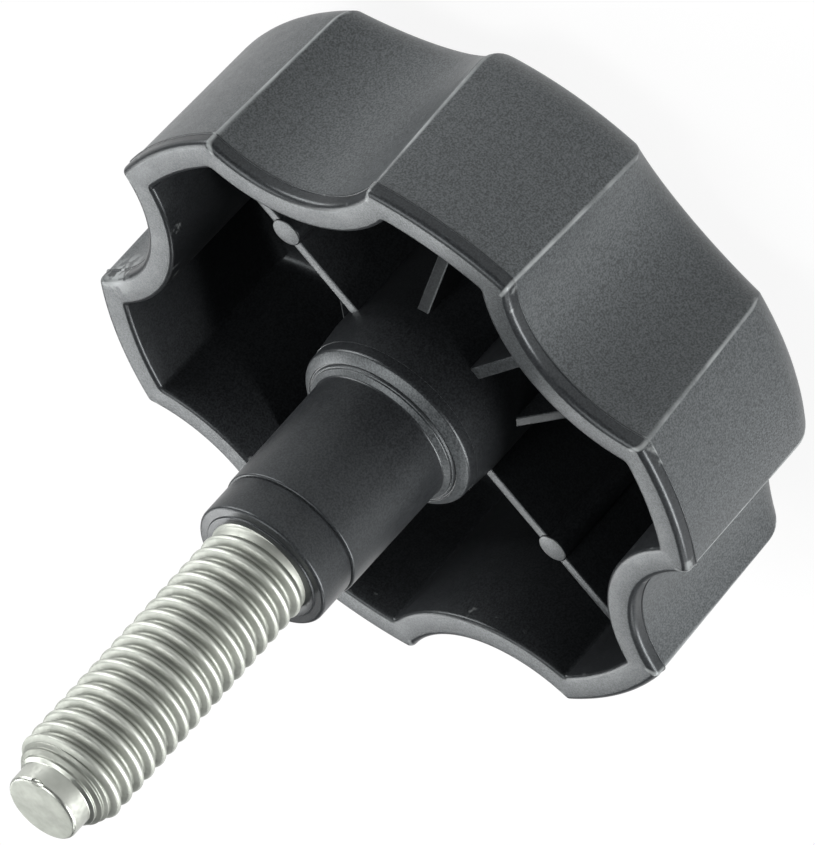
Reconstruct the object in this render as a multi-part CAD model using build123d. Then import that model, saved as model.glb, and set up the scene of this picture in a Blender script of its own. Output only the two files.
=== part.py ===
"""Locking knob: a six-lobed moulded hand knob with a threaded steel stud moulded into its hub.

The knob stands on its domed head, with the open rim and the stud upwards. The origin is the
lowest point of the head, on the axis, and +Z runs along the stud. Lengths are in millimetres.
"""
import math
import os

from build123d import *

# Skirt, the lobed wall that the hand turns
knob_diameter = 50.0
lobe_count = 6
rim_height = 19.7
scallop_radius = 9.5
scallop_distance = 30.3
scallop_fade = 0.45
lobe_draft = 1.4
wall = 2.3
core_draft = 0.75
core_corner_radius = 0.4
ridge_radius = 0.3

# Band, the narrow strip at the rim beyond the mould's parting line
band_height = 1.15
band_step = 0.12
rim_edge_radius = 0.5
rim_inner_chamfer = 0.25

# Head, the closed and slightly domed end, with a small flat where the plastic was let in
dome_radius = 77.0
gate_flat_radius = 1.5
head_wall = 2.4
head_edge_radius = 2.3

# Hub, the ring in the middle of the hollow side, with two fine grooves in its end
hub_radius = 6.9
hub_rise = 0.16
hub_chamfer = 0.3
hub_foot_width = 0.25
hub_foot_drop = 0.85
groove_insets = (0.63, 0.98)
groove_width = 0.14
groove_depth = 0.12

# Sleeve, the round neck that carries the stud out past the rim, and the low seat at its end
sleeve_radius = 5.43
sleeve_taper = 0.07
sleeve_length = 14.4
collar_step = 0.14
collar_length = 3.2
collar_chamfer = 0.25
seat_width = 0.5
seat_rise = 0.15

# Ribs from the hub to the skirt: level ones on the axes, sloping gussets between them
rib_thickness = 0.85
rib_count = 4
rib_drop = 3.6
gusset_drop = 4.65
gusset_slope = 45.0
pad_radius = 1.05
pad_distance = 14.7
pad_drop = 3.65
pad_angles = (0.0, 180.0)

# Stud, with a metric thread (made here at its outside diameter), a dog point and a knurled root
stud_diameter = 7.9
stud_free_length = 24.4
shank_diameter = 7.1
dog_diameter = 5.5
dog_length = 1.7
dog_chamfer = 0.3
root_diameter = 10.4
root_length = 9.0
root_height = 5.0
root_groove_width = 1.6
root_groove_depth = 0.9
knurl_count = 16
knurl_radius = 0.6

knob_radius = knob_diameter / 2
stud_radius = stud_diameter / 2
dog_radius = dog_diameter / 2
lobe_pitch = 360.0 / lobe_count
rib_pitch = 360.0 / rib_count
parting_height = rim_height - band_height
hub_top = rim_height + hub_rise
sleeve_top = rim_height + sleeve_length
seat_top = sleeve_top + seat_rise
collar_base = sleeve_top - collar_length
collar_radius = sleeve_radius - sleeve_taper - collar_step
stud_top = sleeve_top + stud_free_length
overrun = 1.0
match = 0.01


def turned(points):
    """Solid turned about Z from the (radius, height) points of its half section."""
    section = Polyline(*[(radius, 0, height) for radius, height in points], close=True)
    return revolve(make_face(section), Axis.Z)


def dome_height(radius, sphere_radius):
    """Height of a dome above the small flat at its middle, at a distance from the axis."""
    drop = math.sqrt(sphere_radius**2 - radius**2)
    return math.sqrt(sphere_radius**2 - gate_flat_radius**2) - drop


def side_radius(rim_radius, draft, height):
    """Radius at a height of a drafted side that has the given radius at the rim."""
    return rim_radius - (rim_height - height) * math.tan(math.radians(draft))


def domed_blank(base, sphere_radius, rim_radius, draft, top):
    """Round blank with a domed lower end and a drafted side, up to a level top."""
    edge_height = base + dome_height(rim_radius, sphere_radius)
    edge_radius = side_radius(rim_radius, draft, edge_height)
    middle_radius = edge_radius / 2
    flat_edge = (gate_flat_radius, 0, base)
    middle = (middle_radius, 0, base + dome_height(middle_radius, sphere_radius))
    edge = (edge_radius, 0, base + dome_height(edge_radius, sphere_radius))
    top_edge = (side_radius(rim_radius, draft, top), 0, top)
    dome = ThreePointArc(flat_edge, middle, edge)
    rest = Polyline(edge, top_edge, (0, 0, top), (0, 0, base), flat_edge)
    blank = revolve(make_face(dome + rest), Axis.Z)
    return Rot(0, 0, lobe_pitch / 2) * blank


def scallop_cutters(rim_radius, head_radius):
    """Upright cones on the scallop axes, with their radii at the rim and at the head."""
    growth = (rim_radius - head_radius) / rim_height
    cone = Cone(
        head_radius - growth * overrun,
        rim_radius + growth * overrun,
        rim_height + 2 * overrun,
        align=(Align.CENTER, Align.CENTER, Align.MIN),
    )
    ring = PolarLocations(scallop_distance, lobe_count, start_angle=lobe_pitch / 2)
    return [place * Pos(0, 0, -overrun) * cone for place in ring]


def ridges(solid, shortest):
    """The upright edges where a lobe meets a scallop."""
    return solid.edges().filter_by(lambda edge: edge.bounding_box().size.Z > shortest)


def edges_between(solid, low, high):
    """The edges that lie wholly between two heights."""
    def lies_between(edge):
        box = edge.bounding_box()
        return box.min.Z > low and box.max.Z < high

    return solid.edges().filter_by(lies_between)


def round_edges(solid, radius, height):
    """The round edges of a turned solid that have this radius and height."""
    def matches(edge):
        if edge.geom_type != GeomType.CIRCLE:
            return False
        return abs(edge.radius - radius) < match and abs(edge.arc_center.Z - height) < match

    return solid.edges().filter_by(matches)


def lobed_wall():
    """Outside of the skirt below the parting line, with the domed head rounded into it."""
    wall_radius = knob_radius - band_step
    cutter_radius = scallop_radius + band_step
    cutters = scallop_cutters(cutter_radius, cutter_radius - scallop_fade)
    blank = domed_blank(0, dome_radius, wall_radius, lobe_draft, parting_height) - cutters
    head_top = dome_height(knob_radius, dome_radius)
    round_headed = fillet(edges_between(blank, head_top / 2, head_top), head_edge_radius)
    low = -overrun / 2
    column = turned([
        (0, low),
        (side_radius(wall_radius, lobe_draft, low), low),
        (side_radius(wall_radius, lobe_draft, parting_height), parting_height),
        (0, parting_height),
    ])
    column = Rot(0, 0, lobe_pitch / 2) * column - cutters
    round_ridged = fillet(ridges(column, parting_height / 2), ridge_radius)
    return round_headed & round_ridged


def rim_band():
    """The strip at the rim, a little proud of the wall, its outer edge rounded."""
    disc = Cylinder(knob_radius, band_height, align=(Align.CENTER, Align.CENTER, Align.MIN))
    band = Rot(0, 0, lobe_pitch / 2) * Pos(0, 0, parting_height) * disc
    band -= scallop_cutters(scallop_radius, scallop_radius - scallop_fade)
    band = fillet(ridges(band, band_height / 2), rim_edge_radius + ridge_radius)
    return fillet(band.faces().sort_by(Axis.Z)[-1].edges(), rim_edge_radius)


def core():
    """The space inside the skirt, before the hub and the ribs stand in it."""
    core_radius = scallop_radius + wall
    core_growth = rim_height * math.tan(math.radians(core_draft))
    blank = domed_blank(
        head_wall, dome_radius - head_wall, knob_radius - wall, core_draft, rim_height + overrun
    )
    space = blank - scallop_cutters(core_radius, core_radius + core_growth)
    return fillet(ridges(space, rim_height / 2), core_corner_radius)


def level_rib(angle):
    """Rib with a level top, from the hub to the skirt."""
    reach = Align.MIN
    web = Box(knob_radius, rib_thickness, rim_height - rib_drop, align=(reach, Align.CENTER, reach))
    return Rot(0, 0, angle) * web


def gusset(angle):
    """Rib whose top slopes down and outwards from the hub to the head."""
    top = rim_height - gusset_drop
    foot_reach = hub_radius + top / math.tan(math.radians(gusset_slope))
    profile = Polyline((0, 0, 0), (foot_reach, 0, 0), (hub_radius, 0, top), (0, 0, top), close=True)
    web = extrude(make_face(profile), rib_thickness / 2, dir=(0, 1, 0), both=True)
    return Rot(0, 0, angle) * web


def pad(angle):
    """Round pad on a level rib, where an ejector pin presses."""
    post = Cylinder(pad_radius, rim_height - pad_drop, align=(Align.CENTER, Align.CENTER, Align.MIN))
    return Rot(0, 0, angle) * Pos(pad_distance, 0, 0) * post


def hub():
    """Hub with its two fine grooves, and the sleeve that stands on it with a seat at its end."""
    base = head_wall / 2
    foot_radius = hub_radius + hub_foot_width
    foot_top = hub_top - hub_foot_drop
    seat_radius = stud_radius + seat_width
    column = turned([
        (0, base),
        (foot_radius, base),
        (foot_radius, foot_top),
        (hub_radius, foot_top),
        (hub_radius, hub_top),
        (sleeve_radius, hub_top),
        (sleeve_radius - sleeve_taper, collar_base),
        (collar_radius, collar_base),
        (collar_radius, sleeve_top),
        (seat_radius, sleeve_top),
        (seat_radius, seat_top),
        (0, seat_top),
    ])
    column = chamfer(round_edges(column, hub_radius, hub_top), hub_chamfer)
    column = chamfer(round_edges(column, collar_radius, sleeve_top), collar_chamfer)
    for inset in groove_insets:
        outer_radius = hub_radius - inset
        inner_radius = outer_radius - groove_width
        ring = Cylinder(outer_radius, 2 * groove_depth) - Cylinder(inner_radius, 2 * groove_depth)
        column -= Pos(0, 0, hub_top) * ring
    return column


def stud():
    """Threaded stud, its plain shank in the sleeve, a dog point and a knurled root in the hub."""
    shank_radius = shank_diameter / 2
    root_radius = root_diameter / 2
    root_top = root_height + root_length
    neck_radius = root_radius - root_groove_depth
    groove_low = root_height + (root_length - root_groove_width) / 2
    groove_high = groove_low + root_groove_width
    dog_base = stud_top - dog_length
    bar = turned([
        (0, root_height),
        (root_radius, root_height),
        (root_radius, groove_low),
        (neck_radius, groove_low),
        (neck_radius, groove_high),
        (root_radius, groove_high),
        (root_radius, root_top),
        (shank_radius, root_top),
        (shank_radius, seat_top),
        (stud_radius, seat_top),
        (stud_radius, dog_base - (stud_radius - dog_radius)),
        (dog_radius, dog_base),
        (dog_radius, stud_top),
        (0, stud_top),
    ])
    bar = chamfer(round_edges(bar, dog_radius, stud_top), dog_chamfer)
    flute = Cylinder(knurl_radius, root_length, align=(Align.CENTER, Align.CENTER, Align.MIN))
    for place in PolarLocations(root_radius, knurl_count):
        bar -= place * Pos(0, 0, root_height) * flute
    return bar


def knob(insert):
    """The whole moulding, formed round the stud."""
    webs = [level_rib(index * rib_pitch) for index in range(rib_count)]
    webs += [gusset((index + 0.5) * rib_pitch) for index in range(rib_count)]
    webs += [pad(angle) for angle in pad_angles]
    space = core()
    shell = lobed_wall() + rim_band() - space
    rim_face = shell.faces().sort_by(Axis.Z)[-1]
    shell = chamfer(rim_face.inner_wires()[0].edges(), rim_inner_chamfer)
    middle = hub()
    inside = middle & space
    for web in webs:
        inside += web & space
    return shell + inside + middle - insert


if __name__ == "__main__":
    os.makedirs("parts", exist_ok=True)
    threaded_stud = stud()
    export_step(threaded_stud, "parts/threaded_stud.step")
    export_step(knob(threaded_stud), "parts/knob_body.step")
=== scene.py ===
# %% [markdown]
# # Locking knob with a threaded stud
# A hand knob is moulded in black plastic round a steel stud. The CAD model gives its sizes, and
# this script gives it the edges, the thread and the finishes that a close look at the real one
# shows. Each cell makes one thing and prints what it made.

# %% Load the frame
import math

import bmesh
import bpy
from mathutils import Matrix, Vector


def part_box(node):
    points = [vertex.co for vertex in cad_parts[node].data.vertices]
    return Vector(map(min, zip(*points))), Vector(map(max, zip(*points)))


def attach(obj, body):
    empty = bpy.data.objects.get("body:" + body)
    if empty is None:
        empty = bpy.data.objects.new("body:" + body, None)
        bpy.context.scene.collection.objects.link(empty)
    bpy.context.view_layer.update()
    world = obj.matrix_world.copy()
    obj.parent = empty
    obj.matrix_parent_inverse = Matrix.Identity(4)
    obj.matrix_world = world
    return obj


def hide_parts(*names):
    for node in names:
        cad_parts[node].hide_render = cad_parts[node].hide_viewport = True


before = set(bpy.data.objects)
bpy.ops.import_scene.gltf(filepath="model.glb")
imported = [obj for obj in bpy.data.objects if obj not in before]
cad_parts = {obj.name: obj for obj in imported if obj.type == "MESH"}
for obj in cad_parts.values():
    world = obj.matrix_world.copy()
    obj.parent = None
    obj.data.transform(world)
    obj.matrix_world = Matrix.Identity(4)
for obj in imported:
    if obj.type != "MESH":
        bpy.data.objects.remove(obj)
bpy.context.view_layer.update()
_, stud_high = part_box("threaded_stud")
_, knob_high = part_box("knob_body")
MM = 0.001

# %% [markdown]
# ## Sizes
# The knob stands on its domed head with the stud upwards, and z = 0 is the lowest point. The
# outline of the skirt has six lobes, which are arcs round the knob's own axis, and six scallops,
# which are arcs round axes outside the knob. All lengths here are millimetres, and the finished
# meshes are scaled to metres at the end.

# %% Driving sizes of the moulding
LOBES = 6
KNOB_RADIUS = knob_high.x / MM
RIM_HEIGHT = 19.7
SCALLOP_RADIUS = 9.5
SCALLOP_DISTANCE = 30.3
SCALLOP_FADE = 0.45
LOBE_DRAFT = math.tan(math.radians(1.4))
WALL = 2.3
CORE_DRAFT = math.tan(math.radians(0.75))
DOME_RADIUS = 77.0
HEAD_WALL = 2.4
HEAD_EDGE_RADIUS = 2.3
BAND_HEIGHT = 1.15
BAND_STEP = 0.12
RIM_EDGE_RADIUS = 0.5
RIM_INNER_RADIUS = 0.3
PARTING_HEIGHT = RIM_HEIGHT - BAND_HEIGHT
HALF_PITCH = math.pi / LOBES
print("knob radius", round(KNOB_RADIUS, 2), "mm, parting line at", round(PARTING_HEIGHT, 2), "mm")

# %% [markdown]
# ## One twelfth of the outline
# The outline repeats every 60 degrees and is the same on both sides of a lobe, so only a
# twelfth of it is drawn: from the middle of a lobe, round the ridge, to the middle of a scallop.
# Spinning a single vertex about an axis draws an arc, so three spins draw the whole chain. The
# small arc of the ridge touches both of the others, and the cosine rule gives its centre.

# %% Draw a chain of arcs with the spin operator
LOBE_STEPS, RIDGE_STEPS, SCALLOP_STEPS = 8, 6, 16
SCALLOP_AXIS = Vector((math.cos(HALF_PITCH), math.sin(HALF_PITCH), 0)) * SCALLOP_DISTANCE


def ridge_centre(lobe_radius, scallop_radius, ridge_radius):
    """Angle and centre of a ridge's small arc, which touches a lobe and a scallop."""
    from_axis = lobe_radius - ridge_radius
    from_scallop = scallop_radius + ridge_radius
    squares = from_axis**2 + SCALLOP_DISTANCE**2 - from_scallop**2
    angle = HALF_PITCH - math.acos(squares / (2 * from_axis * SCALLOP_DISTANCE))
    return angle, Vector((math.cos(angle), math.sin(angle), 0)) * from_axis


def spin_arc(bm, start, centre, angle, steps):
    """Spin one vertex about an upright axis and return the last vertex of the arc."""
    arc = bmesh.ops.spin(
        bm, geom=[start], cent=centre, axis=(0, 0, 1), dvec=(0, 0, 0), angle=angle, steps=steps,
        use_merge=False, use_normal_flip=False, use_duplicate=False,
    )
    return next(item for item in arc["geom_last"] if isinstance(item, bmesh.types.BMVert))


def outline_chain(bm, height, lobe_radius, scallop_radius, ridge_radius):
    """Draw a twelfth of the outline at a height and return its edges."""
    known = set(bm.edges)
    ridge_angle, ridge = ridge_centre(lobe_radius, scallop_radius, ridge_radius)
    across = SCALLOP_AXIS - ridge
    across_angle = math.atan2(across.y, across.x)
    start = bm.verts.new((lobe_radius, 0, height))
    after_lobe = spin_arc(bm, start, (0, 0, height), ridge_angle, LOBE_STEPS)
    after_ridge = spin_arc(
        bm, after_lobe, (ridge.x, ridge.y, height), across_angle - ridge_angle, RIDGE_STEPS
    )
    spin_arc(
        bm, after_ridge, (SCALLOP_AXIS.x, SCALLOP_AXIS.y, height), HALF_PITCH - across_angle,
        SCALLOP_STEPS,
    )
    return [edge for edge in bm.edges if edge not in known]


print("a chain has", LOBE_STEPS + RIDGE_STEPS + SCALLOP_STEPS, "edges")

# %% [markdown]
# ## The shell
# The skirt and head are one wall. Its section is a path that starts under the middle of the
# head, goes out to the edge, up the outside, over the rim and down the inside again. At every
# step of the path a chain is drawn, and each chain is bridged to the one before. The head is
# drawn flat and then bent: every point rises by the height of the dome at its own distance from
# the axis, and the rise fades out up the wall, so that the rim stays level. The half of the mould
# that makes the outside is finely eroded and the other half is smooth, so the faces below the
# parting line and the faces beyond it are marked for two finishes; the smooth finish is also painted
# darker, as painted shade for the hollow side. The two halves of the mould meet in a fine raised
# bead, which catches the light as a thin line all the way round.

# %% Levels of the shell's section
GATE_FLAT_RADIUS = 1.5
FLOOR_RADIUS = 0.8
BEAD = 0.07
WALL_RIDGE = 0.3
BAND_RIDGE = 0.55
CORE_RIDGE = 0.4
SHARPEST_RIDGE = 0.05
HEAD_RINGS = 14
HEAD_EDGE_STEPS = 10
WALL_LEVELS = 8
BEAD_STEPS = 4
RIM_EDGE_STEPS = 8
INNER_EDGE_STEPS = 5


def dome_height(radius, sphere_radius):
    """Height of the dome at a distance from the axis, above the small flat at its middle."""
    drop = math.sqrt(sphere_radius**2 - max(radius, GATE_FLAT_RADIUS)**2)
    return math.sqrt(sphere_radius**2 - GATE_FLAT_RADIUS**2) - drop


def quarter(steps, first=0):
    """Angles of a quarter turn, for rounding an edge."""
    return [math.pi / 2 * step / steps for step in range(first, steps + 1)]


def outside(height, inset, ridge, lift=0.0, scale=1.0):
    """A level on the outer wall, moved inwards by the inset."""
    drop = RIM_HEIGHT - height
    lobe = KNOB_RADIUS - LOBE_DRAFT * drop - inset
    scallop = SCALLOP_RADIUS - SCALLOP_FADE * drop / RIM_HEIGHT + inset
    return (height, lobe, scallop, max(ridge, SHARPEST_RIDGE), lift, scale, DOME_RADIUS)


def inside(height, outset, ridge, lift=0.0, scale=1.0):
    """A level on the inner wall, moved outwards by the outset."""
    drop = RIM_HEIGHT - height
    lobe = KNOB_RADIUS - WALL - CORE_DRAFT * drop + outset
    scallop = SCALLOP_RADIUS + WALL + CORE_DRAFT * drop - outset
    sphere = DOME_RADIUS - HEAD_WALL
    return (height, lobe, scallop, max(ridge + outset, SHARPEST_RIDGE), lift, scale, sphere)


levels = [
    outside(0, BAND_STEP + HEAD_EDGE_RADIUS, SHARPEST_RIDGE, 1, ring / HEAD_RINGS)
    for ring in range(1, HEAD_RINGS)
]
for angle in quarter(HEAD_EDGE_STEPS):
    inset = HEAD_EDGE_RADIUS * (1 - math.sin(angle))
    height = HEAD_EDGE_RADIUS * (1 - math.cos(angle))
    levels.append(outside(height, BAND_STEP + inset, WALL_RIDGE - inset, 1))
for step in range(1, WALL_LEVELS + 1):
    share = step / WALL_LEVELS
    height = HEAD_EDGE_RADIUS + (PARTING_HEIGHT - HEAD_EDGE_RADIUS) * share
    levels.append(outside(height, BAND_STEP, WALL_RIDGE, 1 - share))
skin_levels = len(levels)
for angle in quarter(BEAD_STEPS):
    inset = BEAD * (1 - math.sin(angle))
    height = PARTING_HEIGHT + BEAD * (1 - math.cos(angle))
    levels.append(outside(height, inset, BAND_RIDGE - inset))
for angle in quarter(BEAD_STEPS, 1):
    inset = BEAD * (1 - math.cos(angle))
    height = PARTING_HEIGHT + BEAD + BEAD * math.sin(angle)
    levels.append(outside(height, inset, BAND_RIDGE - inset))
for angle in quarter(RIM_EDGE_STEPS):
    inset = BEAD + RIM_EDGE_RADIUS * (1 - math.cos(angle))
    height = RIM_HEIGHT - RIM_EDGE_RADIUS * (1 - math.sin(angle))
    levels.append(outside(height, inset, BAND_RIDGE - inset))
for angle in quarter(INNER_EDGE_STEPS):
    outset = RIM_INNER_RADIUS * (1 - math.sin(angle))
    height = RIM_HEIGHT - RIM_INNER_RADIUS * (1 - math.cos(angle))
    levels.append(inside(height, outset, CORE_RIDGE))
for step in range(1, WALL_LEVELS + 1):
    share = step / WALL_LEVELS
    floor_edge = HEAD_WALL + FLOOR_RADIUS
    height = RIM_HEIGHT - RIM_INNER_RADIUS - (RIM_HEIGHT - RIM_INNER_RADIUS - floor_edge) * share
    levels.append(inside(height, 0, CORE_RIDGE, share))
for angle in quarter(INNER_EDGE_STEPS, 1):
    outset = -FLOOR_RADIUS * (1 - math.cos(angle))
    height = HEAD_WALL + FLOOR_RADIUS * (1 - math.sin(angle))
    levels.append(inside(height, outset, CORE_RIDGE, 1))
for ring in range(HEAD_RINGS - 1, 0, -1):
    levels.append(inside(HEAD_WALL, -FLOOR_RADIUS, CORE_RIDGE, 1, ring / HEAD_RINGS))
print("levels in the shell's section:", len(levels))

# %% [markdown]
# ## Help with meshes
# Every mesh is made in millimetres and turned into an object in metres at the end. It gets two
# material slots at once, because a later join only keeps the marks for the two finishes if the
# slots are there. Each closed form is counted for open edges, and there should be none.

# %% Define the helpers for meshes
CLOSE = 1e-4
SKIN, CORE = 0, 1


def everything(bm):
    """All vertices, edges and faces of a bmesh."""
    return bm.verts[:] + bm.edges[:] + bm.faces[:]


def ends_of(edges):
    """The vertices of some edges, each once."""
    return list({vertex for edge in edges for vertex in edge.verts})


def only_vertices(items):
    """The vertices among the items that an operator returned."""
    return [item for item in items if isinstance(item, bmesh.types.BMVert)]


def report(name, bm):
    """Print how many faces a form has and how many of its edges are open."""
    open_edges = sum(not edge.is_manifold for edge in bm.edges)
    print(f"{name}: {len(bm.faces)} faces, {open_edges} open edges")


def new_object(name, bm, finish=None):
    """Turn a bmesh in millimetres into an object in metres, with two empty material slots."""
    if finish is not None:
        for face in bm.faces:
            face.material_index = finish
    bmesh.ops.scale(bm, vec=(MM, MM, MM), verts=bm.verts)
    mesh = bpy.data.meshes.new(name)
    for _ in (SKIN, CORE):
        mesh.materials.append(None)
    bm.to_mesh(mesh)
    bm.free()
    made = bpy.data.objects.new(name, mesh)
    bpy.context.scene.collection.objects.link(made)
    return made


print("finish marks: skin", SKIN, "and core", CORE)

# %% Bridge the chains into the shell
NEAR_POLE = 1.0


def scale_chain(bm, chain, scale):
    """Shrink a chain towards the axis."""
    bmesh.ops.scale(bm, vec=(scale, scale, 1), verts=ends_of(chain))


def bend_to_dome(chain, lift, sphere_radius):
    """Raise the points of a chain by the height of the dome under them."""
    for vertex in ends_of(chain):
        radius = math.hypot(vertex.co.x, vertex.co.y)
        vertex.co.z += lift * dome_height(radius, sphere_radius)


def six_sectors(bm):
    """Mirror a twelfth of the skirt into a sixth, and turn copies of it round the axis."""
    bmesh.ops.mirror(
        bm, geom=everything(bm), matrix=Matrix.Identity(4), merge_dist=CLOSE, axis="Y"
    )
    bmesh.ops.spin(
        bm, geom=everything(bm), cent=(0, 0, 0), axis=(0, 0, 1), dvec=(0, 0, 0),
        angle=2 * math.pi * (LOBES - 1) / LOBES, steps=LOBES - 1,
        use_merge=False, use_normal_flip=False, use_duplicate=True,
    )
    bmesh.ops.remove_doubles(bm, verts=bm.verts, dist=CLOSE)


def close_pole(bm, height, finish):
    """Fill the small hole that the rings leave on the axis at about this height."""
    rim = [
        edge for edge in bm.edges
        if edge.is_boundary and abs(edge.verts[0].co.z - height) < NEAR_POLE
    ]
    points = ends_of(rim)
    middle_height = sum(vertex.co.z for vertex in points) / len(points)
    fan = bmesh.ops.extrude_edge_only(bm, edges=rim)["geom"]
    for face in fan:
        if isinstance(face, bmesh.types.BMFace):
            face.material_index = finish
    bmesh.ops.pointmerge(bm, verts=only_vertices(fan), merge_co=(0, 0, middle_height))


bm = bmesh.new()
chains = []
for height, lobe, scallop, ridge, lift, scale, sphere in levels:
    chain = outline_chain(bm, height, lobe, scallop, ridge)
    scale_chain(bm, chain, scale)
    bend_to_dome(chain, lift, sphere)
    chains.append(chain)
for index, (lower, upper) in enumerate(zip(chains, chains[1:])):
    for face in bmesh.ops.bridge_loops(bm, edges=lower + upper)["faces"]:
        face.material_index = SKIN if index < skin_levels - 1 else CORE
six_sectors(bm)
close_pole(bm, 0, SKIN)
close_pole(bm, HEAD_WALL, CORE)
bmesh.ops.recalc_face_normals(bm, faces=bm.faces)
report("shell", bm)
shell = new_object("shell", bm)

# %% [markdown]
# ## Hub and sleeve
# The hub and the sleeve are round, so they come from one half section spun about the axis. The
# section is drawn as a flat face because the bevel operator can then round its corners, and only
# its outline is spun. The hub's end is a low cone that rises to the sleeve, with two fine grooves
# round it, and the hub widens a little towards its foot. The collar at the sleeve's end is a
# little thinner than the sleeve, behind a fine seam.

# %% Define how a half section is rounded and spun
ROUND_STEPS = 144


def round_corner(bm, corner, rounding, steps=4):
    """Round one corner of a flat face."""
    bmesh.ops.bevel(
        bm, geom=[corner], offset=rounding, offset_type="OFFSET", segments=steps, profile=0.5,
        affect="VERTICES", material=-1, clamp_overlap=False,
    )


def rounded_outline(bm, corners):
    """Draw a half section from (radius, height, rounding) corners and return its edges."""
    points = [bm.verts.new((radius, 0, height)) for radius, height, _ in corners]
    bm.faces.new(points)
    for point, (_, _, rounding) in zip(points, corners):
        if rounding:
            round_corner(bm, point, rounding)
    bmesh.ops.delete(bm, geom=bm.faces[:], context="FACES_ONLY")
    on_axis = [
        edge for edge in bm.edges if max(abs(vertex.co.x) for vertex in edge.verts) < CLOSE
    ]
    bmesh.ops.delete(bm, geom=on_axis, context="EDGES")
    return bm.edges[:]


def spin_full_turn(bm, outline, steps=ROUND_STEPS):
    """Spin an outline once round the upright axis, and close the seam and the poles."""
    bmesh.ops.spin(
        bm, geom=outline, cent=(0, 0, 0), axis=(0, 0, 1), dvec=(0, 0, 0), angle=2 * math.pi,
        steps=steps, use_merge=True, use_normal_flip=False, use_duplicate=False,
    )
    bmesh.ops.remove_doubles(bm, verts=bm.verts, dist=CLOSE)
    bmesh.ops.dissolve_degenerate(bm, edges=bm.edges, dist=CLOSE)
    bmesh.ops.recalc_face_normals(bm, faces=bm.faces)


print("a full turn has", ROUND_STEPS, "steps")

# %% Spin the hub and sleeve
HUB_RADIUS = 6.9
HUB_TOP = RIM_HEIGHT + 0.16
HUB_BASE = HEAD_WALL / 2
HUB_FOOT_RADIUS = 7.15
HUB_FOOT_TOP = HUB_TOP - 0.85
HUB_FOOT_TAPER = 2.4
HUB_FOOT_STEP = 0.03
CONE_RISE = 1.05
OUTER_GROOVE = (6.08, 0.16, 0.12)
INNER_GROOVE = (5.88, 0.08, 0.05)
SLEEVE_RADIUS = 5.43
SLEEVE_END_RADIUS = 5.37
SLEEVE_TOP = RIM_HEIGHT + 14.4
COLLAR_BASE = SLEEVE_TOP - 3.2
COLLAR_RADIUS = 5.22
SEAM_RADIUS = 5.14
SEAM_BELOW, SEAM_ABOVE = 0.04, 0.12
SEAT_RADIUS = 4.45
SEAT_TOP = SLEEVE_TOP + 0.15
BORE_RADIUS = 3.6
ANCHOR_SPACE = 5.2
ANCHOR_LOW, ANCHOR_TOP = 5, 14


def cone_height(radius):
    """Height of the hub's sloping end, which rises from its edge to the sleeve."""
    return HUB_TOP + CONE_RISE * (HUB_RADIUS - radius) / (HUB_RADIUS - SLEEVE_RADIUS)


def groove(radius, width, depth):
    """Corners of a fine groove cut into the hub's end, from its outer edge to its inner edge."""
    half = width / 2
    lip = width / 5
    bottom = cone_height(radius) - depth
    return [
        (radius + half, cone_height(radius + half), lip),
        (radius + half / 2, bottom, 0),
        (radius - half / 2, bottom, 0),
        (radius - half, cone_height(radius - half), lip),
    ]


hub_section = [
    (0, HUB_BASE, 0),
    (HUB_FOOT_RADIUS, HUB_BASE, 0),
    (HUB_FOOT_RADIUS, HUB_FOOT_TOP - HUB_FOOT_TAPER, 0.1),
    (HUB_RADIUS + HUB_FOOT_STEP, HUB_FOOT_TOP, 0),
    (HUB_RADIUS, HUB_FOOT_TOP, 0),
    (HUB_RADIUS, HUB_TOP, 0.18),
    *groove(*OUTER_GROOVE),
    *groove(*INNER_GROOVE),
    (SLEEVE_RADIUS, HUB_TOP + CONE_RISE, 0.12),
    (SLEEVE_END_RADIUS, COLLAR_BASE - SEAM_BELOW, 0.14),
    (SEAM_RADIUS, COLLAR_BASE, 0),
    (COLLAR_RADIUS, COLLAR_BASE + SEAM_ABOVE, 0.05),
    (COLLAR_RADIUS, SLEEVE_TOP, 0.25),
    (SEAT_RADIUS, SLEEVE_TOP, 0.04),
    (SEAT_RADIUS, SEAT_TOP, 0.08),
    (BORE_RADIUS, SEAT_TOP, 0.06),
    (BORE_RADIUS, ANCHOR_TOP, 0),
    (ANCHOR_SPACE, ANCHOR_TOP, 0),
    (ANCHOR_SPACE, ANCHOR_LOW, 0),
    (0, ANCHOR_LOW, 0),
]
bm = bmesh.new()
spin_full_turn(bm, rounded_outline(bm, hub_section))
report("hub", bm)
hub = new_object("hub", bm, CORE)

# %% [markdown]
# ## Ribs and pads
# Each rib is a thin upright plate, so it is a polygon extruded across its thickness. Its long top
# edges get a small bevel, because a moulded rib is never knife-sharp and the bevel catches light.
# Ribs with a level top lead to two lobes and two scallops, and gussets with a sloping top stand
# between them. The pads, where ejector pins press, are short round posts, so they are spun.

# %% Extrude the ribs
RIB_THICKNESS = 1.0
RIB_EDGE = 0.12
RIB_ROOT = 6.5
RIB_TOP = RIM_HEIGHT - 3.65
FLOOR_AT_HUB = 1.6
LOBE_RIB_REACH, LOBE_RIB_FOOT = 23.2, 4.9
SCALLOP_RIB_REACH, SCALLOP_RIB_FOOT = 19.6, 4.0
GUSSET_REACH, GUSSET_FOOT = 18.3, 3.2
GUSSET_TOP = RIM_HEIGHT - 4.65
LONG_EDGE = 1.0
ABOVE_FOOT = 0.1
LOOKS_UP = 0.3


def is_long_top(edge):
    """Whether an edge runs along a rib and borders a face that looks upwards."""
    first, second = (vertex.co for vertex in edge.verts)
    along = abs(first.y - second.y) < CLOSE and abs(first.x - second.x) > LONG_EDGE
    above = min(first.z, second.z) > FLOOR_AT_HUB + ABOVE_FOOT
    return along and above and any(face.normal.z > LOOKS_UP for face in edge.link_faces)


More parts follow.
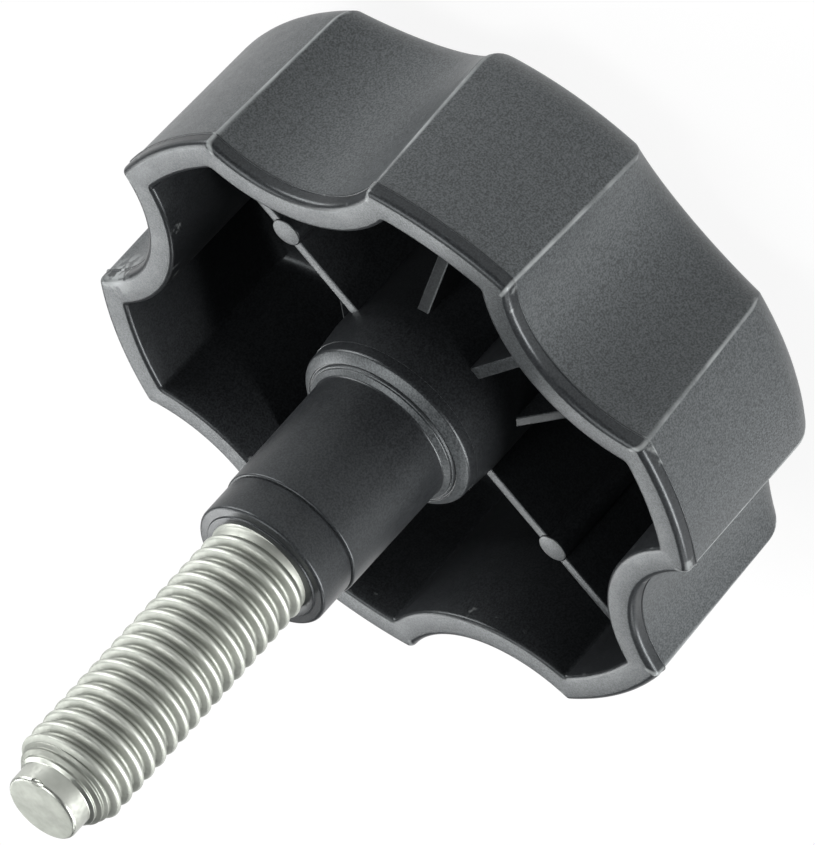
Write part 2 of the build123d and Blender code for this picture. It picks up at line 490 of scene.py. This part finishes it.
def rib(name, corners, angle):
    """A plate from the (radius, height) corners of its side, turned to an angle in degrees."""
    bm = bmesh.new()
    side = bm.faces.new(
        [bm.verts.new((radius, -RIB_THICKNESS / 2, height)) for radius, height in corners]
    )
    grown = bmesh.ops.extrude_face_region(bm, geom=[side])["geom"]
    bmesh.ops.translate(bm, vec=(0, RIB_THICKNESS, 0), verts=only_vertices(grown))
    bmesh.ops.recalc_face_normals(bm, faces=bm.faces)
    bmesh.ops.bevel(
        bm, geom=[edge for edge in bm.edges if is_long_top(edge)], offset=RIB_EDGE,
        offset_type="OFFSET", segments=2, profile=0.5, affect="EDGES", material=-1,
    )
    turn = Matrix.Rotation(math.radians(angle), 3, "Z")
    bmesh.ops.rotate(bm, verts=bm.verts, cent=(0, 0, 0), matrix=turn)
    return new_object(name, bm, CORE)


def level_side(reach, foot):
    """Corners of the side of a rib with a level top."""
    return [(RIB_ROOT, FLOOR_AT_HUB), (reach, foot), (reach, RIB_TOP), (RIB_ROOT, RIB_TOP)]


GUSSET_SIDE = [
    (RIB_ROOT, FLOOR_AT_HUB),
    (GUSSET_REACH, GUSSET_FOOT),
    (GUSSET_REACH, HUB_RADIUS + GUSSET_TOP - GUSSET_REACH),
    (HUB_RADIUS, GUSSET_TOP),
    (RIB_ROOT, GUSSET_TOP),
]
lobe_side = level_side(LOBE_RIB_REACH, LOBE_RIB_FOOT)
scallop_side = level_side(SCALLOP_RIB_REACH, SCALLOP_RIB_FOOT)
ribs = [rib("rib_to_lobe", lobe_side, angle) for angle in (0, 180)]
ribs += [rib("rib_to_scallop", scallop_side, angle) for angle in (90, -90)]
ribs += [rib("gusset", GUSSET_SIDE, angle) for angle in (45, 135, -135, -45)]
print("ribs:", len(ribs))

# %% Spin the pads
PAD_RADIUS = 1.15
PAD_DISTANCE = 14.4
PAD_LOW = 2.6
PAD_TOP = RIM_HEIGHT - 3.55
PAD_STEPS = 32
pad_section = [(0, PAD_LOW, 0), (PAD_RADIUS, PAD_LOW, 0), (PAD_RADIUS, PAD_TOP, 0.1), (0, PAD_TOP, 0)]
pads = []
for side in (1, -1):
    bm = bmesh.new()
    spin_full_turn(bm, rounded_outline(bm, pad_section), PAD_STEPS)
    bmesh.ops.translate(bm, vec=(PAD_DISTANCE * side, 0, 0), verts=bm.verts)
    pads.append(new_object("pad", bm, CORE))
print("pads:", len(pads))

# %% [markdown]
# ## One moulding
# The real knob is one piece, so the parts of its mesh are joined by an exact Boolean union, and
# the finished mesh stands alone. Edges that turn by more than a set angle stay sharp, and all
# others are shaded smooth.

# %% Join the moulding
SHARP_ANGLE = math.radians(32)


def combine(target, operation, tool):
    """Add an exact Boolean to an object, with another object or with a whole collection."""
    boolean = target.modifiers.new(operation.lower(), "BOOLEAN")
    boolean.operation = operation
    boolean.solver = "EXACT"
    if isinstance(tool, bpy.types.Collection):
        boolean.operand_type = "COLLECTION"
        boolean.collection = tool
    else:
        boolean.object = tool


def finished(name, source, *tools):
    """Make an object of another's finished mesh, and remove the objects that it came from."""
    evaluated = source.evaluated_get(bpy.context.evaluated_depsgraph_get())
    mesh = bpy.data.meshes.new_from_object(evaluated)
    mesh.name = name
    mesh.shade_smooth()
    mesh.set_sharp_from_angle(angle=SHARP_ANGLE)
    made = bpy.data.objects.new(name, mesh)
    bpy.context.scene.collection.objects.link(made)
    for form in (source, *tools):
        bpy.data.objects.remove(form)
    bm = bmesh.new()
    bm.from_mesh(mesh)
    report(name, bm)
    bm.free()
    return made


inner_forms = bpy.data.collections.new("inner_forms")
for form in (hub, *ribs, *pads):
    inner_forms.objects.link(form)
combine(shell, "UNION", inner_forms)
moulding = finished("knob_moulding", shell, hub, *ribs, *pads)
bpy.data.collections.remove(inner_forms)

# %% [markdown]
# ## The thread
# A metric thread is one profile carried along a helix. One pitch of the profile is drawn with a
# rounded root and crest, as rolling leaves them, and then spun like a screw: each step of
# the spin also climbs a little, so a whole turn ends one pitch higher and the next turn fits on it.

# %% Spin the thread as a screw
PITCH = 1.25
CREST_RADIUS = 3.94
ROOT_RADIUS = 3.4
CREST_WIDTH = 0.34
FLANK = math.tan(math.radians(30)) * (CREST_RADIUS - ROOT_RADIUS)
ROOT_HALF = (PITCH - CREST_WIDTH - 2 * FLANK) / 2
ROOT_ROUNDING, CREST_ROUNDING = 0.13, 0.16
INSIDE_RADIUS = 0.5
DOG_LENGTH = 1.7
DOG_RADIUS = 2.75
STUD_TOP = stud_high.z / MM
DOG_BASE = STUD_TOP - DOG_LENGTH
STEPS_PER_TURN = 96
TURNS = math.ceil((DOG_BASE - SEAT_TOP) / PITCH) + 3
THREAD_START = SEAT_TOP - 1.5 * PITCH
THREAD_CLOSE = 1e-3

bm = bmesh.new()
profile = [
    (ROOT_RADIUS, 0),
    (ROOT_RADIUS, ROOT_HALF),
    (CREST_RADIUS, ROOT_HALF + FLANK),
    (CREST_RADIUS, ROOT_HALF + FLANK + CREST_WIDTH),
    (ROOT_RADIUS, PITCH - ROOT_HALF),
    (ROOT_RADIUS, PITCH),
    (INSIDE_RADIUS, PITCH),
    (INSIDE_RADIUS, 0),
]
corners = [bm.verts.new((radius, 0, THREAD_START + height)) for radius, height in profile]
bm.faces.new(corners)
roundings = (ROOT_ROUNDING, CREST_ROUNDING, CREST_ROUNDING, ROOT_ROUNDING)
for corner, rounding in zip(corners[1:5], roundings):
    round_corner(bm, corner, rounding)
bmesh.ops.delete(bm, geom=bm.faces[:], context="FACES_ONLY")
inner = [
    edge for edge in bm.edges if min(vertex.co.x for vertex in edge.verts) < 2 * INSIDE_RADIUS
]
bmesh.ops.delete(bm, geom=inner, context="EDGES")
loose = [vertex for vertex in bm.verts if not vertex.link_edges]
bmesh.ops.delete(bm, geom=loose, context="VERTS")
bmesh.ops.spin(
    bm, geom=bm.edges[:] + bm.verts[:], cent=(0, 0, 0), axis=(0, 0, 1),
    dvec=(0, 0, PITCH / STEPS_PER_TURN), angle=2 * math.pi, steps=STEPS_PER_TURN,
    use_merge=False, use_normal_flip=False, use_duplicate=False,
)
one_turn = everything(bm)
for turn in range(1, TURNS):
    copied = bmesh.ops.duplicate(bm, geom=one_turn)["geom"]
    bmesh.ops.translate(bm, vec=(0, 0, turn * PITCH), verts=only_vertices(copied))
bmesh.ops.remove_doubles(bm, verts=bm.verts, dist=THREAD_CLOSE)
print("thread faces:", len(bm.faces), "turns:", TURNS)

# %% [markdown]
# ## Both ends of the thread
# The thread is cut off flat at the dog and inside the sleeve. Before rolling, the blank is
# chamfered, so near the dog the crests are held inside a cone and the grooves run out on it. Next
# to the sleeve the thread fades into the blank.

# %% Cut the thread and close its ends
CUT_CLOSE = 1e-5
CHAMFER_LENGTH = 1.35
NECK_RADIUS = 2.65
RUN_OUT_LENGTH = 1.3
BLANK_RADIUS = 3.78
THREAD_FOOT = SEAT_TOP - 0.3


def held_radius(radius, height):
    """Radius of a point of the thread after the chamfer and the run-out have shaped it."""
    to_dog = max((DOG_BASE - height) / CHAMFER_LENGTH, 0)
    from_seat = max((height - SEAT_TOP) / RUN_OUT_LENGTH, 0)
    if to_dog < 1:
        radius = min(radius, NECK_RADIUS + (CREST_RADIUS - NECK_RADIUS) * to_dog**1.5)
    if from_seat < 1:
        radius = max(radius, BLANK_RADIUS + (ROOT_RADIUS - BLANK_RADIUS) * from_seat**2)
    return radius


for height, direction in ((DOG_BASE, 1), (THREAD_FOOT, -1)):
    bmesh.ops.bisect_plane(
        bm, geom=everything(bm), dist=CUT_CLOSE, plane_co=(0, 0, height),
        plane_no=(0, 0, direction), clear_outer=True,
    )
for vertex in bm.verts:
    radius = math.hypot(vertex.co.x, vertex.co.y)
    wanted = held_radius(radius, vertex.co.z)
    vertex.co.x *= wanted / radius
    vertex.co.y *= wanted / radius
for height in (DOG_BASE, THREAD_FOOT):
    ring = [
        edge for edge in bm.edges
        if edge.is_boundary and all(abs(end.co.z - height) < THREAD_CLOSE for end in edge.verts)
    ]
    bmesh.ops.contextual_create(bm, geom=ring)
bmesh.ops.recalc_face_normals(bm, faces=bm.faces)
report("thread", bm)
thread = new_object("thread", bm)

# %% [markdown]
# ## Dog, shank and anchor
# The rest of the stud is round, so it is one more spun section. Two fine ridges stand before the
# dog, where rolling pushed the metal over the chamfer. The dog is a short plain cylinder with a
# rounded edge, and it carries a small nick from handling, which is a flattened ball cut out of it.
# The shank and the anchor are hidden in the plastic, so they stay plain.

# %% Spin the bar, join it to the thread and cut the nick
ANCHOR_RADIUS = 5.15
ANCHOR_NECK = 4.3
ANCHOR_GROOVE_LOW, ANCHOR_GROOVE_HIGH = 8.7, 10.3
SHANK_RADIUS = 3.55
SHANK_TOP = SEAT_TOP - 0.1
PIN_RADIUS = 2.6
PIN_LOW = SEAT_TOP - 0.05
RIDGES_BELOW_DOG = (
    (PIN_RADIUS, 1.5, 0), (3.25, 1.25, 0.1), (3.62, 1.05, 0.12), (3.28, 0.78, 0.1),
    (3.42, 0.55, 0.1), (3.0, 0.33, 0.08), (3.08, 0.13, 0.06), (DOG_RADIUS, -0.02, 0.05),
)
NICK_SIZE = (0.22, 0.55, 0.3)
NICK_PLACE = (DOG_RADIUS - 0.05, 0, STUD_TOP - 0.12)
NICK_TURN = Matrix.Rotation(math.radians(-43), 3, "Z")

stud_section = [
    (0, ANCHOR_LOW, 0),
    (ANCHOR_RADIUS, ANCHOR_LOW, 0.2),
    (ANCHOR_RADIUS, ANCHOR_GROOVE_LOW, 0.1),
    (ANCHOR_NECK, ANCHOR_GROOVE_LOW, 0),
    (ANCHOR_NECK, ANCHOR_GROOVE_HIGH, 0),
    (ANCHOR_RADIUS, ANCHOR_GROOVE_HIGH, 0.1),
    (ANCHOR_RADIUS, ANCHOR_TOP, 0.2),
    (SHANK_RADIUS, ANCHOR_TOP, 0),
    (SHANK_RADIUS, SHANK_TOP, 0.1),
    (PIN_RADIUS, PIN_LOW, 0),
    *((radius, DOG_BASE - below, rounding) for radius, below, rounding in RIDGES_BELOW_DOG),
    (DOG_RADIUS, STUD_TOP, 0.3),
    (0, STUD_TOP, 0),
]
bm = bmesh.new()
spin_full_turn(bm, rounded_outline(bm, stud_section))
bar = new_object("bar", bm)
bm = bmesh.new()
bmesh.ops.create_uvsphere(bm, u_segments=24, v_segments=12, radius=1)
bmesh.ops.scale(bm, vec=NICK_SIZE, verts=bm.verts)
bmesh.ops.translate(bm, vec=NICK_PLACE, verts=bm.verts)
bmesh.ops.rotate(bm, verts=bm.verts, cent=(0, 0, 0), matrix=NICK_TURN)
nick = new_object("nick", bm)
combine(thread, "UNION", bar)
combine(thread, "DIFFERENCE", nick)
stud = finished("steel_stud", thread, bar, nick)

# %% [markdown]
# ## Finishes
# A material is a small network of nodes, and most of them need the same few lines, so a class
# keeps those lines in one place. All patterns are read from Object coordinates, in metres, so a
# noise with a scale of 1000 has grains of about a millimetre.

# %% Define short ways to build a material
BUMP_DEPTH = 0.02 * MM


def rgb(red, green, blue):
    """A colour with full opacity."""
    return (red, green, blue, 1.0)


class Shader:
    """A material and short ways to add and link its nodes."""

    def __init__(self, name):
        self.material = bpy.data.materials.new(name)
        self.material.use_nodes = True
        self.nodes = self.material.node_tree.nodes
        self.links = self.material.node_tree.links
        self.surface = self.nodes["Principled BSDF"]
        self.place = self.nodes.new("ShaderNodeTexCoord").outputs["Object"]

    def fill(self, node, inputs):
        """Give a node's inputs their values, or link them to what other nodes put out."""
        for key, value in inputs.items():
            if isinstance(value, bpy.types.NodeSocket):
                self.links.new(value, node.inputs[key])
            else:
                node.inputs[key].default_value = value

    def add(self, kind, inputs, **settings):
        """Add a node with its settings and inputs."""
        node = self.nodes.new(kind)
        for key, value in settings.items():
            setattr(node, key, value)
        self.fill(node, inputs)
        return node

    def noise(self, scale, detail=2.0):
        """Cloudy noise."""
        inputs = {"Vector": self.place, "Scale": scale, "Detail": detail}
        return self.add("ShaderNodeTexNoise", inputs).outputs["Fac"]

    def spread(self, value, low, high, to_low, to_high):
        """Map a value from one range to another, and stop at its ends."""
        inputs = {
            "Value": value, "From Min": low, "From Max": high, "To Min": to_low, "To Max": to_high,
        }
        return self.add("ShaderNodeMapRange", inputs).outputs["Result"]

    def tint(self, factor, first, second):
        """Blend two colours."""
        return self.add("ShaderNodeMix", {0: factor, 6: first, 7: second}, data_type="RGBA").outputs[2]

    def compute(self, operation, first, *others):
        """Work out one value from several, such as their product."""
        for other in others:
            first = self.add("ShaderNodeMath", {0: first, 1: other}, operation=operation).outputs[0]
        return first

    def bump(self, height, strength):
        """A normal that is tilted by the slope of a pattern."""
        inputs = {"Height": height, "Strength": strength, "Distance": BUMP_DEPTH}
        return self.add("ShaderNodeBump", inputs).outputs["Normal"]

    def axes(self):
        """The three coordinates, one by one."""
        return self.add("ShaderNodeSeparateXYZ", {"Vector": self.place}).outputs

    def reach(self):
        """Distance from the knob's axis."""
        level = self.add("ShaderNodeVectorMath", {0: self.place, 1: (1, 1, 0)}, operation="MULTIPLY")
        length = self.add("ShaderNodeVectorMath", {0: level.outputs[0]}, operation="LENGTH")
        return length.outputs["Value"]


print("bump depth in mm:", round(BUMP_DEPTH / MM, 3))

# %% [markdown]
# ## Wear and painted ridge highlights
# One lobe's corner is knocked and the band at the rim is rubbed here and there, and the plastic has
# gone pale in these places. Along the ridges of the skirt runs a thin pale line, which is a painted
# highlight. Each kind of mark is a mask, which is 1 where the plastic is pale, and its edges are
# given as pairs: where the mark starts to fade and where the fade ends.

# %% Define the masks for the wear and for the painted ridge highlights
KNOCK_PLACE = Vector((16.9, 16.3, 18.8)) * MM
KNOCK_EDGE = (0.7 * MM, 2.1 * MM)
BAND_BEGINS = ((PARTING_HEIGHT - 0.1) * MM, PARTING_HEIGHT * MM)
BAND_ENDS = ((RIM_HEIGHT - 0.25) * MM, (RIM_HEIGHT - 0.1) * MM)
SKIRT_BEGINS = (16.5 * MM, 17.0 * MM)
LOBE_BEGINS = (23.8 * MM, 24.0 * MM)
LINE_EDGE = (0.07 * MM, 0.19 * MM)
RIDGE_REACH = 24.8 * MM
RUB_STRENGTH = 0.8
DIMMEST_RIDGE_HIGHLIGHT = 0.45
KNOCK_GRAIN, RUB_GRAIN, RIDGE_GRAIN = 1300, 520, 330


def ridge_place(height):
    """Angle from the middle of a lobe to the crest of its ridge, at a height on the wall."""
    _, lobe, scallop, *_ = outside(height, BAND_STEP, WALL_RIDGE)
    _, centre = ridge_centre(lobe, scallop, WALL_RIDGE)
    outwards = (SCALLOP_AXIS - centre).normalized() + centre.normalized()
    crest = centre + outwards.normalized() * WALL_RIDGE
    return math.atan2(crest.y, crest.x)


def knock(shader):
    """The knocked corner of one lobe."""
    gap = shader.add("ShaderNodeVectorMath", {0: shader.place, 1: KNOCK_PLACE}, operation="DISTANCE")
    near = shader.spread(gap.outputs["Value"], *KNOCK_EDGE, 1, 0)
    spots = shader.spread(shader.noise(KNOCK_GRAIN, 3), 0.48, 0.56, 0, 1)
    return shader.compute("MULTIPLY", near, spots)


def rubs(shader):
    """A few small rubs on the band at the rim."""
    height = shader.axes()["Z"]
    above_parting = shader.spread(height, *BAND_BEGINS, 0, RUB_STRENGTH)
    below_rim = shader.spread(height, *BAND_ENDS, 1, 0)
    on_skirt = shader.spread(shader.reach(), *SKIRT_BEGINS, 0, 1)
    spots = shader.spread(shader.noise(RUB_GRAIN, 5), 0.63, 0.7, 0, 1)
    return shader.compute("MULTIPLY", above_parting, below_rim, on_skirt, spots)


def ridge_painted_highlight(shader):
    """A painted highlight: a thin pale line along each ridge of the skirt, stronger in some places
    than in others.
    """
    axes = shader.axes()
    angle = shader.compute("ARCTAN2", axes["Y"], axes["X"])
    folded = shader.compute("PINGPONG", angle, HALF_PITCH)
    heights = (HEAD_EDGE_RADIUS, PARTING_HEIGHT)
    places = (ridge_place(height) for height in heights)
    ridge = shader.spread(axes["Z"], *(height * MM for height in heights), *places)
    turned = shader.compute("ABSOLUTE", shader.compute("SUBTRACT", folded, ridge), 0)
    line = shader.spread(shader.compute("MULTIPLY", turned, RIDGE_REACH), *LINE_EDGE, 1, 0)
    on_lobe = shader.spread(shader.reach(), *LOBE_BEGINS, 0, 1)
    pale_amount = shader.spread(shader.noise(RIDGE_GRAIN, 3), 0.4, 0.6, DIMMEST_RIDGE_HIGHLIGHT, 1)
    return shader.compute("MULTIPLY", line, on_lobe, pale_amount)


print("ridge at the parting line:", round(math.degrees(ridge_place(PARTING_HEIGHT)), 2), "degrees")

# %% [markdown]
# ## Black plastic
# The plastic is black and filled with short glass fibres. So its colour varies a little from grain
# to grain, its shine is satin, and a fine bump breaks up the highlights. The eroded half of the
# mould leaves a duller skin than the smooth half, so there are two materials. The smooth one is
# also painted darker than the eroded one, and this is painted shade for the hollow side.

# %% Make the black plastic
# A pale colour for the worn places, and for the painted highlight along the ridges.
PALE_WEAR_AND_HIGHLIGHT = rgb(0.2, 0.21, 0.21)
COOL_SHINE = rgb(0.92, 0.98, 1.0)
PLASTIC_GRAIN, PLASTIC_CLOUD = 7500, 900


def black_plastic(name, dark, light, gloss, ior, grain_bump):
    """Black plastic with a fine grain, between two colours and two roughnesses."""
    made = Shader(name)
    grain = made.noise(PLASTIC_GRAIN)
    cloud = made.noise(PLASTIC_CLOUD, 3)
    colour = made.tint(made.spread(grain, 0.36, 0.64, 0, 1), dark, light)
    # Pale wear marks, and a pale line along the ridges that is a painted highlight.
    pale_amount = made.compute("MAXIMUM", knock(made), rubs(made), ridge_painted_highlight(made))
    made.fill(made.surface, {
        "Base Color": made.tint(pale_amount, colour, PALE_WEAR_AND_HIGHLIGHT),
        "Roughness": made.spread(cloud, 0.3, 0.7, *gloss),
        "Normal": made.bump(grain, grain_bump),
        "IOR": ior,
        "Specular Tint": COOL_SHINE,
    })
    return made


skin = black_plastic(
    "eroded_black_plastic", rgb(0.015, 0.0163, 0.0172), rgb(0.062, 0.067, 0.070),
    gloss=(0.38, 0.44), ior=1.55, grain_bump=0.4,
)
# The smooth plastic's darker colours are painted shade for the hollow side.
core = black_plastic(
    "smooth_black_plastic_painted_shade", rgb(0.009, 0.0095, 0.0105), rgb(0.023, 0.025, 0.027),
    gloss=(0.30, 0.36), ior=1.4, grain_bump=0.25,
)
print("made", skin.material.name, "and", core.material.name)

# %% [markdown]
# ## Bright steel
# The stud is steel with a bright plating of a slightly green grey. The plating is cloudy, the
# roots of the thread are painted darker than its crests as painted shade in the grooves, and the end
# of the dog is matt from the cut-off.

# %% Make the bright steel
DARK_PLATING = rgb(0.37, 0.385, 0.35)
LIGHT_PLATING = rgb(0.47, 0.485, 0.445)
# Colour of the painted shade in the roots of the thread.
ROOT_PAINTED_SHADE = rgb(0.24, 0.25, 0.225)
STEEL_SPECK, STEEL_CLOUD = 2600, 420
THREAD_ENDS = ((DOG_BASE - 0.4) * MM, (DOG_BASE - 0.1) * MM)
ROOT_ENDS = ((ROOT_RADIUS + 0.05) * MM, (CREST_RADIUS - 0.08) * MM)
END_FACE_BEGINS = ((STUD_TOP - 0.06) * MM, (STUD_TOP - 0.02) * MM)
PLATING_ROUGHNESS = (0.28, 0.40)
THREAD_ROUGHER, END_ROUGHER = 0.2, 0.42
SPECK_BUMP = 0.25

steel = Shader("bright_plated_steel")
speck = steel.noise(STEEL_SPECK, 4)
cloud = steel.noise(STEEL_CLOUD, 3)
height = steel.axes()["Z"]
on_thread = steel.spread(height, *THREAD_ENDS, 1, 0)
root_shade_mask = steel.spread(steel.reach(), *ROOT_ENDS, 1, 0)
at_end = steel.spread(height, *END_FACE_BEGINS, 0, END_ROUGHER)
plating = steel.tint(steel.spread(cloud, 0.35, 0.65, 0, 1), DARK_PLATING, LIGHT_PLATING)
rougher = steel.compute("MAXIMUM", at_end, steel.compute("MULTIPLY", on_thread, THREAD_ROUGHER))
steel.fill(steel.surface, {
    # The thread's roots are painted darker here: painted shade in the grooves of the thread.
    "Base Color": steel.tint(steel.compute("MULTIPLY", on_thread, root_shade_mask), plating, ROOT_PAINTED_SHADE),
    "Metallic": 1.0,
    "Roughness": steel.compute("ADD", steel.spread(speck, 0.3, 0.7, *PLATING_ROUGHNESS), rougher),
    "Normal": steel.bump(speck, SPECK_BUMP),
})
print("made", steel.material.name)

# %% [markdown]
# ## Finish each piece
# The level and sloping faces that the mould's inner half leaves (the rim, the rib tops, the hub's
# cone) get the eroded, paler plastic of the outside. Their faces are found by the way they point,
# because that is simpler than marking them one by one before the join, so the faces inside that look
# up are painted lighter than the rest of the hollow: this is painted light on them.

# %% Give the pieces their finishes and their places
MARKED_LOW, MARKED_HIGH = 6, 30
CONE_REACH = 13
LEVEL = 0.995
SLOPE_LEAST, SLOPE_MOST = 0.6, 0.95


def dress(piece, *shaders):
    """Fill a piece's material slots in order and drop the ones that are left over."""
    for index, shader in enumerate(shaders):
        piece.data.materials[index] = shader.material
    while len(piece.data.materials) > len(shaders):
        piece.data.materials.pop()


def is_eroded_and_painted_lit(face):
    """Whether a face inside is a level or sloping one that looks up, and so gets the paler plastic as
    painted light.
    """
    middle = face.center / MM
    level = face.normal.z > LEVEL
    near_hub = math.hypot(middle.x, middle.y) < CONE_REACH
    sloping = near_hub and SLOPE_LEAST < face.normal.z < SLOPE_MOST
    return MARKED_LOW < middle.z < MARKED_HIGH and (level or sloping)


for piece, finishes, node in (
    (moulding, (skin, core), "knob_body"),
    (stud, (steel,), "threaded_stud"),
):
    dress(piece, *finishes)
    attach(piece, "root")
    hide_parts(node)
# Faces inside that look up get the paler plastic, which is painted light on them.
for face in moulding.data.polygons:
    if is_eroded_and_painted_lit(face):
        face.material_index = SKIN
smooth_faces = sum(face.material_index == CORE for face in moulding.data.polygons)
print("pieces:", moulding.name, stud.name, "smooth-finished faces:", smooth_faces)

# %% [markdown]
# ## Studio
# The knob stands on a pale floor in soft light. The floor looks white to the camera and in
# reflections, and it keeps part of its shading, so the knob still has a shadow. The room above is
# a plain dim grey, which keeps the hollow side as dark as it is on a real black knob.

# %% Make the floor
FLOOR_SIZE = 3000
FLOOR_GLOW = 0.9
FLOOR_COLOUR = rgb(0.8, 0.8, 0.8)
FLOOR_ROUGHNESS = 0.9

bm = bmesh.new()
bmesh.ops.create_grid(bm, x_segments=1, y_segments=1, size=FLOOR_SIZE)
floor = new_object("floor", bm)
paper = Shader("pale_floor")
paper.fill(paper.surface, {"Base Color": FLOOR_COLOUR, "Roughness": FLOOR_ROUGHNESS})
rays = paper.add("ShaderNodeLightPath", {}).outputs
seen_or_reflected = paper.compute(
    "MAXIMUM", rays["Is Camera Ray"], rays["Is Glossy Ray"], rays["Is Transmission Ray"]
)
share = paper.compute("MULTIPLY", seen_or_reflected, FLOOR_GLOW)
white = paper.add("ShaderNodeEmission", {"Strength": 1.0})
blend = paper.add("ShaderNodeMixShader", {0: share, 1: paper.surface.outputs[0], 2: white.outputs[0]})
paper.fill(paper.nodes["Material Output"], {"Surface": blend.outputs[0]})
dress(floor, paper)
print("floor with", paper.material.name)

# %% Make the world
ROOM_COLOUR = rgb(0.95, 0.98, 1.0)
ROOM_STRENGTH = 0.14

world = bpy.data.worlds.new("studio")
bpy.context.scene.world = world
world.use_nodes = True
room = world.node_tree.nodes["Background"]
room.inputs["Color"].default_value = ROOM_COLOUR
room.inputs["Strength"].default_value = ROOM_STRENGTH
print("room strength:", ROOM_STRENGTH)

# %% [markdown]
# ## Lamps
# The walls of the skirt mirror the white floor, which evens them out. So low lamps at the left and
# the right bring back their light and dark sides, and lamps behind, overhead and at the upper left
# light the rim, the far side and the stud. All of them are broad, so no shadow is hard.

# %% Hang the lamps
KNOB_MIDDLE = Vector((0, 0, 0.02))


def soft_lamp(name, place, size, power):
    """Hang a rectangular lamp that faces the middle of the knob."""
    lamp = bpy.data.lights.new(name, "AREA")
    lamp.shape = "RECTANGLE"
    lamp.size, lamp.size_y = size
    lamp.energy = power
    holder = bpy.data.objects.new(name, lamp)
    bpy.context.scene.collection.objects.link(holder)
    holder.location = place
    holder.rotation_euler = (KNOB_MIDDLE - Vector(place)).to_track_quat("-Z", "Y").to_euler()


soft_lamp("back_softbox", place=(0.1, 0.7, 0.52), size=(0.7, 0.28), power=6)
soft_lamp("overhead_softbox", place=(0.26, -0.06, 0.7), size=(0.6, 0.3), power=3.6)
soft_lamp("upper_left_softbox", place=(-0.75, 0.18, 0.38), size=(0.3, 0.2), power=1)
soft_lamp("left_softbox", place=(-0.6, -0.37, 0.12), size=(0.6, 0.22), power=8.5)
soft_lamp("right_softbox", place=(0.72, 0.12, 0.12), size=(0.6, 0.22), power=5.5)

# %% [markdown]
# ## Camera
# The view is the one of a product photograph: a long lens, a look down into the hollow side, and
# the camera rolled so that the stud points to the lower left.

# %% Place the camera
AZIMUTH, ELEVATION, ROLL = (math.radians(angle) for angle in (16.02, 28.19, 137.87))
TARGET = Vector((-0.767, -0.220, 18.53)) * MM
DISTANCE = 0.872
FOCAL_LENGTH, SENSOR_HEIGHT = 550, 36
NEAREST, FARTHEST = 0.05, 20

back = Vector((
    math.sin(AZIMUTH) * math.cos(ELEVATION),
    -math.cos(AZIMUTH) * math.cos(ELEVATION),
    math.sin(ELEVATION),
))
lens = bpy.data.cameras.new("camera")
lens.sensor_fit = "VERTICAL"
lens.sensor_height = SENSOR_HEIGHT
lens.lens = FOCAL_LENGTH
lens.clip_start, lens.clip_end = NEAREST, FARTHEST
camera = bpy.data.objects.new("camera", lens)
bpy.context.scene.collection.objects.link(camera)
camera.location = TARGET + back * DISTANCE
camera.rotation_mode = "QUATERNION"
upright = (-back).to_track_quat("-Z", "Y")
camera.rotation_quaternion = upright @ Matrix.Rotation(-ROLL, 3, "Z").to_quaternion()
bpy.context.scene.camera = camera
bpy.context.scene.view_settings.view_transform = "Standard"
print("camera at", [round(value, 4) for value in camera.location])
